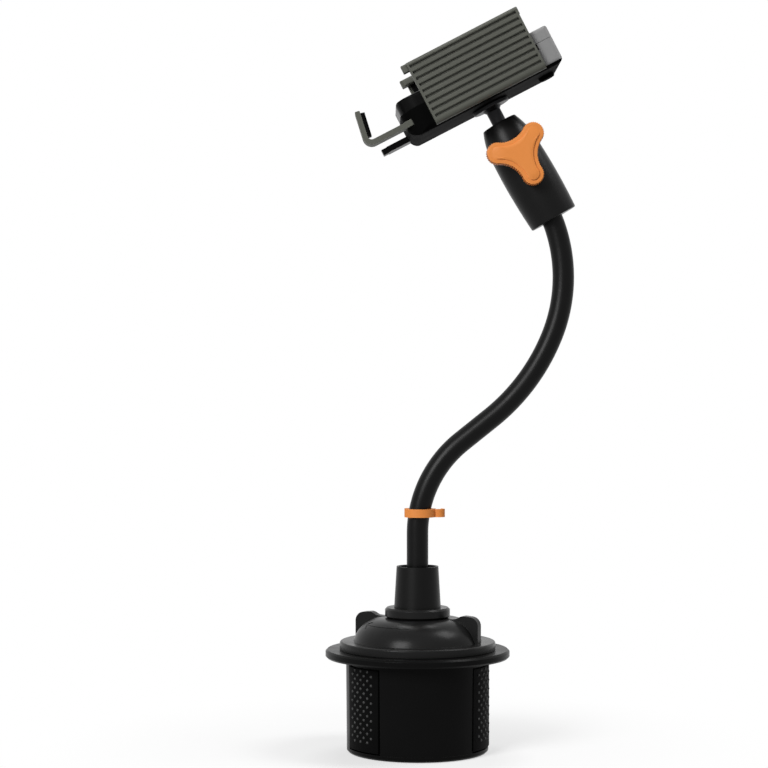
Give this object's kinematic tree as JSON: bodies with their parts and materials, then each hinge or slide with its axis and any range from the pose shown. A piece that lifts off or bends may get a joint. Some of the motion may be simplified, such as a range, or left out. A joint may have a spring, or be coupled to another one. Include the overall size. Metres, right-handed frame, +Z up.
{
  "type": "phone gooseneck holder",
  "caption": "Phone cradle with spring-in side arms on a ball joint, carried by a bendable neck from an expanding cup-holder base.",
  "frame": {"origin": "centre of the flat underside of the base", "axes": "+Z up along the base axis, +X to the side the neck leans to, -Y to the side of the clamp knob"},
  "size_m": [0.1228, 0.0906, 0.3615],
  "materials": {
    "black_plastic": "fine satin moulded black",
    "grey_black_plastic": "satin black shell",
    "soft_black": "soft-touch black coating",
    "black_rubber": "matt rubber",
    "olive_plastic": "matt olive grey",
    "grey_plastic": "satin neutral grey",
    "orange_plastic": "satin orange",
    "button_plastic": "satin black",
    "seat_nylon": "natural nylon",
    "dark_metal": "dark satin",
    "steel": "plain zinc-plated steel",
    "core_wire": "wound wire core"
  },
  "bodies": {
    "base": {"base_body": "black_plastic", "base_floor": "black_plastic", "floor_screws": "steel", "centre_column": "black_plastic", "column_screws": "steel", "anchor_nut": "steel", "dial_collar": "black_plastic", "neck_sleeve": "soft_black", "neck_sheath": "soft_black", "neck_core_00": "core_wire"},
    "dial": {"dial": "black_plastic"},
    "jaw_1": {"jaw_1": "black_plastic", "grip_pad_1": "black_rubber"},
    "jaw_2": {"jaw_2": "black_plastic", "grip_pad_2": "black_rubber"},
    "jaw_3": {"jaw_3": "black_plastic", "grip_pad_3": "black_rubber"},
    "neck_01": {"neck_core_01": "core_wire", "cable_clip": "orange_plastic"},
    "neck_02": {"neck_core_02": "core_wire"},
    "neck_03": {"neck_core_03": "core_wire"},
    "neck_04": {"neck_core_04": "core_wire"},
    "neck_05": {"neck_core_05": "core_wire"},
    "neck_06": {"neck_core_06": "core_wire"},
    "neck_07": {"neck_core_07": "core_wire"},
    "neck_08": {"neck_core_08": "core_wire"},
    "neck_09": {"neck_core_09": "core_wire"},
    "neck_10": {"neck_core_10": "core_wire"},
    "neck_11": {"neck_core_11": "core_wire"},
    "neck_12": {"neck_core_12": "core_wire", "neck_ferrule": "steel", "barrel": "black_plastic", "clamp_nut": "steel"},
    "knob": {"clamp_knob": "orange_plastic", "clamp_screw": "steel"},
    "seat": {"ball_seat": "seat_nylon"},
    "stud": {"ball_stud": "dark_metal", "stud_washer": "dark_metal", "stud_screw": "steel"},
    "cradle": {"rear_shell": "grey_black_plastic", "front_shell": "black_plastic", "shell_screws": "steel", "front_pad": "black_rubber", "end_cap": "grey_plastic"},
    "arm_near": {"arm_near": "olive_plastic", "arm_pad_near": "black_rubber"},
    "arm_far": {"arm_far": "olive_plastic", "arm_pad_far": "black_rubber"},
    "foot": {"foot": "olive_plastic", "foot_pad": "black_rubber"},
    "support_bar": {"support_bar": "black_plastic"},
    "button": {"release_button": "button_plastic"}
  },
  "joints": [
    {"name": "dial_turn", "type": "hinge", "parent": "base", "child": "dial", "pos_m": [0, 0, 0.052], "axis": [0, 0, -1], "range_deg": [0, 90]},
    {"name": "jaw_1_slide", "type": "slide", "parent": "base", "child": "jaw_1", "axis": [-0.788, -0.6157, 0], "range_m": [0, 0.0071]},
    {"name": "jaw_2_slide", "type": "slide", "parent": "base", "child": "jaw_2", "axis": [0.9272, -0.3746, 0], "range_m": [0, 0.0071]},
    {"name": "jaw_3_slide", "type": "slide", "parent": "base", "child": "jaw_3", "axis": [-0.1392, 0.9903, 0], "range_m": [0, 0.0071]},
    {"name": "neck_bend_01", "type": "hinge", "parent": "base", "child": "neck_01", "pos_m": [0, 0, 0.104], "axis": [0, 1, 0], "range_deg": [-4, 4], "deforming": ["neck_sheath"]},
    {"name": "neck_bend_02", "type": "hinge", "parent": "neck_01", "child": "neck_02", "pos_m": [0.00283, 0, 0.12471], "axis": [0, 1, 0], "range_deg": [-4, 4]},
    {"name": "neck_side_03", "type": "hinge", "parent": "neck_02", "child": "neck_03", "pos_m": [0.00696, 0, 0.13435], "axis": [0.88, 0, -0.475], "range_deg": [-12, 12]},
    {"name": "neck_bend_04", "type": "hinge", "parent": "neck_03", "child": "neck_04", "pos_m": [0.01276, 0, 0.14309], "axis": [0, 1, 0], "range_deg": [-4, 4]},
    {"name": "neck_bend_05", "type": "hinge", "parent": "neck_04", "child": "neck_05", "pos_m": [0.0282, 0, 0.15725], "axis": [0, 1, 0], "range_deg": [-4, 4]},
    {"name": "neck_bend_06", "type": "hinge", "parent": "neck_05", "child": "neck_06", "pos_m": [0.04421, 0, 0.17082], "axis": [0, 1, 0], "range_deg": [-17.2, 6]},
    {"name": "neck_side_07", "type": "hinge", "parent": "neck_06", "child": "neck_07", "pos_m": [0.05124, 0, 0.17862], "axis": [0.7771, 0, -0.6293], "range_deg": [-12, 12]},
    {"name": "neck_bend_08", "type": "hinge", "parent": "neck_07", "child": "neck_08", "pos_m": [0.05741, 0, 0.18712], "axis": [0, 1, 0], "range_deg": [-17.2, 6]},
    {"name": "neck_bend_09", "type": "hinge", "parent": "neck_08", "child": "neck_09", "pos_m": [0.06688, 0, 0.20582], "axis": [0, 1, 0], "range_deg": [-17.2, 6]},
    {"name": "neck_side_10", "type": "hinge", "parent": "neck_09", "child": "neck_10", "pos_m": [0.0699, 0, 0.21587], "axis": [0.975, 0, -0.2224], "range_deg": [-12, 12]},
    {"name": "neck_bend_11", "type": "hinge", "parent": "neck_10", "child": "neck_11", "pos_m": [0.07154, 0, 0.22624], "axis": [0, 1, 0], "range_deg": [-17.2, 6]},
    {"name": "neck_bend_12", "type": "hinge", "parent": "neck_11", "child": "neck_12", "pos_m": [0.07054, 0, 0.24716], "axis": [0, 1, 0], "range_deg": [-17.2, 6]},
    {"name": "knob_turn", "type": "hinge", "parent": "neck_12", "child": "knob", "pos_m": [0.04983, 0, 0.29189], "axis": [0, -1, 0], "range_deg": [0, 360]},
    {"name": "ball_tilt", "type": "hinge", "parent": "neck_12", "child": "seat", "pos_m": [0.04388, 0, 0.30219], "axis": [0, 1, 0], "range_deg": [-17, 12]},
    {"name": "ball_swing", "type": "hinge", "parent": "seat", "child": "stud", "pos_m": [0.04388, 0, 0.30219], "axis": [0.8878, 0, 0.4602], "range_deg": [-12, 12]},
    {"name": "cradle_spin", "type": "hinge", "parent": "stud", "child": "cradle", "pos_m": [0.04388, 0, 0.30219], "axis": [-0.4602, 0, 0.8878], "continuous": true},
    {"name": "arm_near_slide", "type": "slide", "parent": "cradle", "child": "arm_near", "axis": [0, -1, 0], "range_m": [0, 0.017]},
    {"name": "arm_far_slide", "type": "slide", "parent": "cradle", "child": "arm_far", "axis": [0, 1, 0], "range_m": [0, 0.017]},
    {"name": "foot_slide", "type": "slide", "parent": "cradle", "child": "foot", "axis": [-0.8878, 0, -0.4602], "range_m": [-0.014, 0.006]},
    {"name": "bar_slide", "type": "slide", "parent": "cradle", "child": "support_bar", "axis": [-0.8878, 0, -0.4602], "range_m": [-0.012, 0.004]},
    {"name": "button_push", "type": "slide", "parent": "cradle", "child": "button", "axis": [-0.4602, 0, 0.8878], "range_m": [0, 0.0012], "stiffness_N_per_m": 1500, "springref_m": -0.0006}
  ],
  "couplings": [
    {"joint": "jaw_1_slide", "follows": "dial_turn", "m_per_rad": 0.0044563},
    {"joint": "jaw_2_slide", "follows": "dial_turn", "m_per_rad": 0.0044563},
    {"joint": "jaw_3_slide", "follows": "dial_turn", "m_per_rad": 0.0044563},
    {"joint": "neck_bend_02", "follows": "neck_bend_01", "ratio": 1},
    {"joint": "neck_bend_04", "follows": "neck_bend_01", "ratio": 1},
    {"joint": "neck_bend_05", "follows": "neck_bend_01", "ratio": 1},
    {"joint": "neck_side_07", "follows": "neck_side_03", "ratio": 1},
    {"joint": "neck_bend_08", "follows": "neck_bend_06", "ratio": 1},
    {"joint": "neck_bend_09", "follows": "neck_bend_06", "ratio": 1},
    {"joint": "neck_side_10", "follows": "neck_side_03", "ratio": 1},
    {"joint": "neck_bend_11", "follows": "neck_bend_06", "ratio": 1},
    {"joint": "neck_bend_12", "follows": "neck_bend_06", "ratio": 1},
    {"joint": "arm_far_slide", "follows": "arm_near_slide", "ratio": 1}
  ]
}
